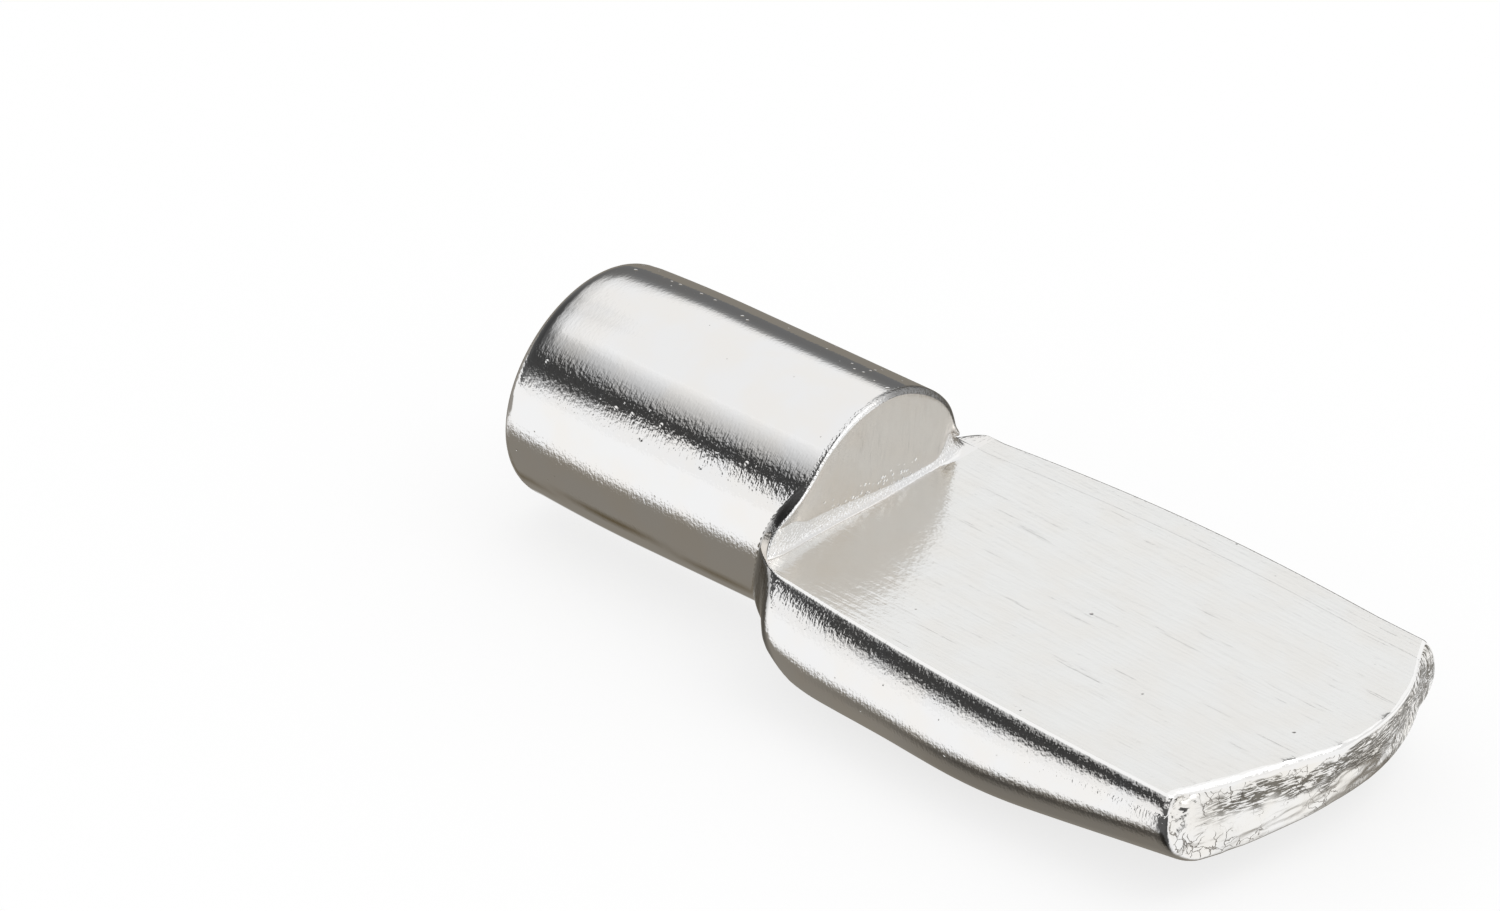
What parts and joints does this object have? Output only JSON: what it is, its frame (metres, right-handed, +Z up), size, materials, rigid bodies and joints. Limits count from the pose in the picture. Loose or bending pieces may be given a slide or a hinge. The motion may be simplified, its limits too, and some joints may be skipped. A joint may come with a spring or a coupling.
{
  "type": "shelf support pin",
  "caption": "Spoon-type shelf support pin: a round shank plugs into a hole in the cabinet wall, and a shelf rests on its flat blade.",
  "frame": {"origin": "on the shank's axis where the shoulder starts, which is where the face of the cabinet wall comes", "axes": "-X along the shank toward its free end, +X out along the blade, +Z up out of the bearing face (the face falls 2.3 degrees toward the tip)"},
  "size_m": [0.0237, 0.0104, 0.0064],
  "materials": {
    "nickel_plate": "bright nickel plate on steel, with fine lengthwise brush marks on the bearing face"
  },
  "bodies": {
    "root": {"support_pin": "nickel_plate"}
  },
  "joints": []
}
